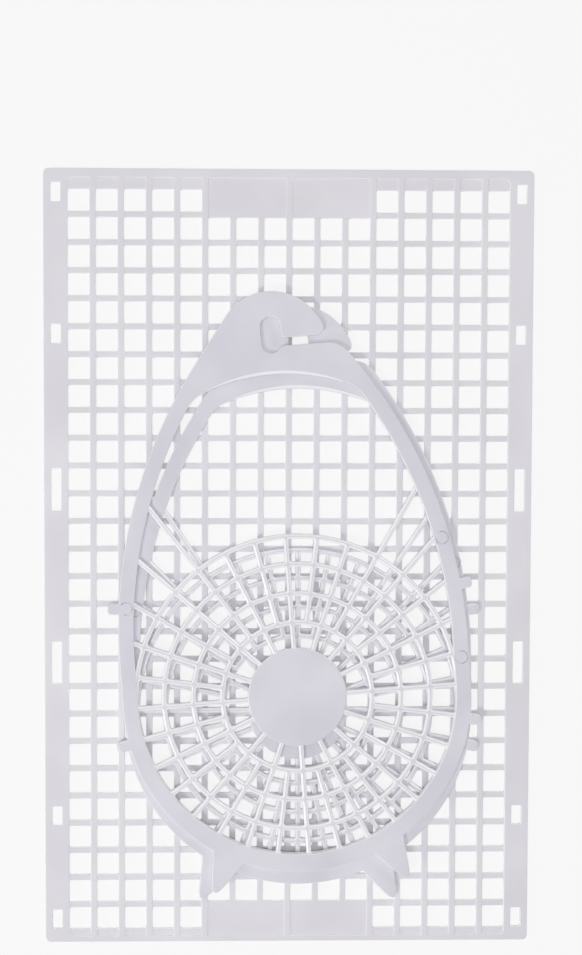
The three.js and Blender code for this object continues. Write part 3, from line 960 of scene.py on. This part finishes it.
def polypropylene(name, light, dark, smooth, rough, grain_depth):
    """Polypropylene between two tones and two roughnesses, with a grain so many mm deep."""
    material = bpy.data.materials.new(name)
    material.use_nodes = True
    tree = material.node_tree
    tree.nodes.clear()
    place = add(tree, "ShaderNodeTexCoord").outputs["Object"]
    cloud, sink, grain = (
        add(tree, "ShaderNodeTexNoise", [("Vector", place)],
            Scale=1000 / size, Detail=detail).outputs["Fac"]
        for size, detail in ((CLOUD_SIZE, 3), (SINK_SIZE, 1), (GRAIN_SIZE, 2)))
    clouds = add(tree, "ShaderNodeMapRange", [("Value", cloud)],
                 From_Min=CLOUD_FROM, From_Max=CLOUD_TO)
    tone = add(tree, "ShaderNodeMix", [(0, clouds.outputs[0])], data_type="RGBA")
    tone.inputs[COLOUR_A].default_value = linear(light)
    tone.inputs[COLOUR_B].default_value = linear(dark)
    gloss = add(tree, "ShaderNodeMapRange", [("Value", grain)], To_Min=smooth, To_Max=rough)
    sinks = add(tree, "ShaderNodeBump", [("Height", sink)],
                Strength=SINK_STRENGTH, Distance=SINK_DEPTH * MM)
    bumps = add(tree, "ShaderNodeBump", [("Height", grain), ("Normal", sinks.outputs[0])],
                Strength=GRAIN_STRENGTH, Distance=grain_depth * MM)
    plastic = add(tree, "ShaderNodeBsdfPrincipled", [
        ("Base Color", tone.outputs[COLOUR_RESULT]), ("Roughness", gloss.outputs[0]),
        ("Normal", bumps.outputs[0])], IOR=PLASTIC_IOR)
    add(tree, "ShaderNodeOutputMaterial", [("Surface", plastic.outputs[0])])
    return material


finishes = [
    # Eroded mould faces give thick walls a soft, cool grey-white and a broad, dull shine
    polypropylene("polypropylene_thick_matt", "#DEDDE5", "#D3D2DB", 0.34, 0.44, 0.02),
    # The same faces in a lighter copy of the colour: painted light for the light that comes through
    # thin walls
    polypropylene("polypropylene_thin_matt_painted_light", "#E3E1E7", "#DCDAE0", 0.34, 0.44, 0.02),
    # Polished mould steel leaves a smooth face with a narrow shine; its almost pure white is a
    # painted highlight on walls and edges
    polypropylene("polypropylene_polished_painted_highlight", "#F8F8FB", "#F4F4F8", 0.2, 0.26, 0.004),
]
THICK, THIN_PAINTED_LIGHT, POLISHED_PAINTED_HIGHLIGHT = range(len(finishes))
print("finishes:", [material.name for material in finishes])

# %% Finish of each face
FLATTEST = 0.96  # a face whose normal rises less than this is a wall, a rib's side or an edge
SAME_HEIGHT = 0.01  # a flat face this near to the ribs' tops belongs to them


def finish_of(piece, face):
    """Number of the face's material."""
    # Walls, ribs' sides and edges get the near-white colour, a painted highlight along every edge
    if abs(face.normal.z) < FLATTEST:
        return POLISHED_PAINTED_HIGHLIGHT
    is_web_top = abs(face.center.z - WEB_TOP * MM) < SAME_HEIGHT * MM
    is_rib = is_web_top and face.center.to_2d().length > HUB_RADIUS * MM
    # Panel faces and rib tops get the lighter copy, painted light for light coming through thin
    # plastic
    return THIN_PAINTED_LIGHT if piece in panel_pieces or is_rib else THICK


for piece in panel_pieces + end_frames:
    piece.data.materials.clear()
    for material in finishes:
        piece.data.materials.append(material)
    for face in piece.data.polygons:
        face.material_index = finish_of(piece, face)
print(len(finishes), "finishes on", len(panel_pieces + end_frames), "pieces")

# %% [markdown]
# ## Floor and light
#
# The pack lies on plain white. The floor is a matt white sheet that is partly self-lit towards the
# camera, so that it stays white through the holes of the mesh and still takes the pack's soft
# shadow.
#
# A white tent lights a white object evenly, but on its own it would leave the hollows of the web
# grey. So a lamp near the camera looks straight into them, and a key lamp to the lower left throws
# short shadows beside every edge. Neither shows as a reflection, because a broad shine would hide
# the matt grain. Two low lamps, left and behind, do show: their gloss adds to the painted highlight
# that the near-white colour draws on the polished edges.

# %% White floor
FLOOR_SIZE = 4  # metres
FLOOR_DROP = 0.3  # below the panel's underside
FLOOR_GLOW = 0.86  # part of the floor's white that doesn't depend on the light
FLOOR_LEVEL = 0.95  # brightness of that part


def directly_seen(tree):
    """1 on rays from the camera, from a reflection or through glass, and 0 on all others."""
    ray = add(tree, "ShaderNodeLightPath").outputs
    mirrored = add(tree, "ShaderNodeMath", [(0, ray["Is Camera Ray"]), (1, ray["Is Glossy Ray"])],
                   operation="MAXIMUM")
    return add(tree, "ShaderNodeMath", [(0, mirrored.outputs[0]), (1, ray["Is Transmission Ray"])],
               operation="MAXIMUM").outputs[0]


floor_mesh = bpy.data.meshes.new("floor")
half = FLOOR_SIZE / 2
floor_corners = [(-half, -half, 0), (half, -half, 0), (half, half, 0), (-half, half, 0)]
floor_mesh.from_pydata(floor_corners, [], [(0, 1, 2, 3)])
floor = placed("floor", floor_mesh)
floor.location.z = -FLOOR_DROP * MM

paper = bpy.data.materials.new("white_paper")
paper.use_nodes = True
tree = paper.node_tree
tree.nodes.clear()
share = add(tree, "ShaderNodeMath", [(0, directly_seen(tree))], operation="MULTIPLY")
share.inputs[1].default_value = FLOOR_GLOW
matt = add(tree, "ShaderNodeBsdfDiffuse", Color=linear("#FAFAFA"))
glow = add(tree, "ShaderNodeEmission", Color=linear("#FFFFFF"), Strength=FLOOR_LEVEL)
mixed = add(tree, "ShaderNodeMixShader", [
    (0, share.outputs[0]), (1, matt.outputs[0]), (2, glow.outputs[0])])
add(tree, "ShaderNodeOutputMaterial", [("Surface", mixed.outputs[0])])
floor_mesh.materials.append(paper)
print("floor of", FLOOR_SIZE, "m")

# %% White tent
TENT_LEVEL = 0.29  # as a lamp; to the eye and in reflections the tent is plain white

world = bpy.data.worlds.new("white_tent")
scene.world = world
world.use_nodes = True
tree = world.node_tree
tree.nodes.clear()
tent = add(tree, "ShaderNodeBackground", Color=linear("#FFFFFF"), Strength=TENT_LEVEL)
white = add(tree, "ShaderNodeBackground", Color=linear("#FFFFFF"), Strength=1)
mixed = add(tree, "ShaderNodeMixShader", [
    (0, directly_seen(tree)), (1, tent.outputs[0]), (2, white.outputs[0])])
add(tree, "ShaderNodeOutputWorld", [("Surface", mixed.outputs[0])])
print("tent light at", TENT_LEVEL)

# %% Soft lamps
LAMPS = {  # place in metres, size in metres, power in watts, whether it shows as gloss
    "front_lamp": ((-0.03, 0.09, 1.35), 0.25, 5.8, False),
    "key_lamp": ((-0.5, -0.4, 1.2), 0.2, 4.2, False),
    "left_lamp": ((-1.6, -0.8, 0.7), 0.6, 6, True),
    "back_lamp": ((1.1, 1.1, 0.95), 0.4, 3.8, True),
}

for name, (place, size, power, glossy) in LAMPS.items():
    lamp = placed(name, bpy.data.lights.new(name, "AREA"))
    lamp.data.energy = power
    lamp.data.size = size
    lamp.location = place
    lamp.visible_glossy = glossy
    lamp.rotation_euler = Vector(place).to_track_quat("Z", "Y").to_euler()
scene.view_settings.view_transform = "Standard"
print("lamps:", list(LAMPS))
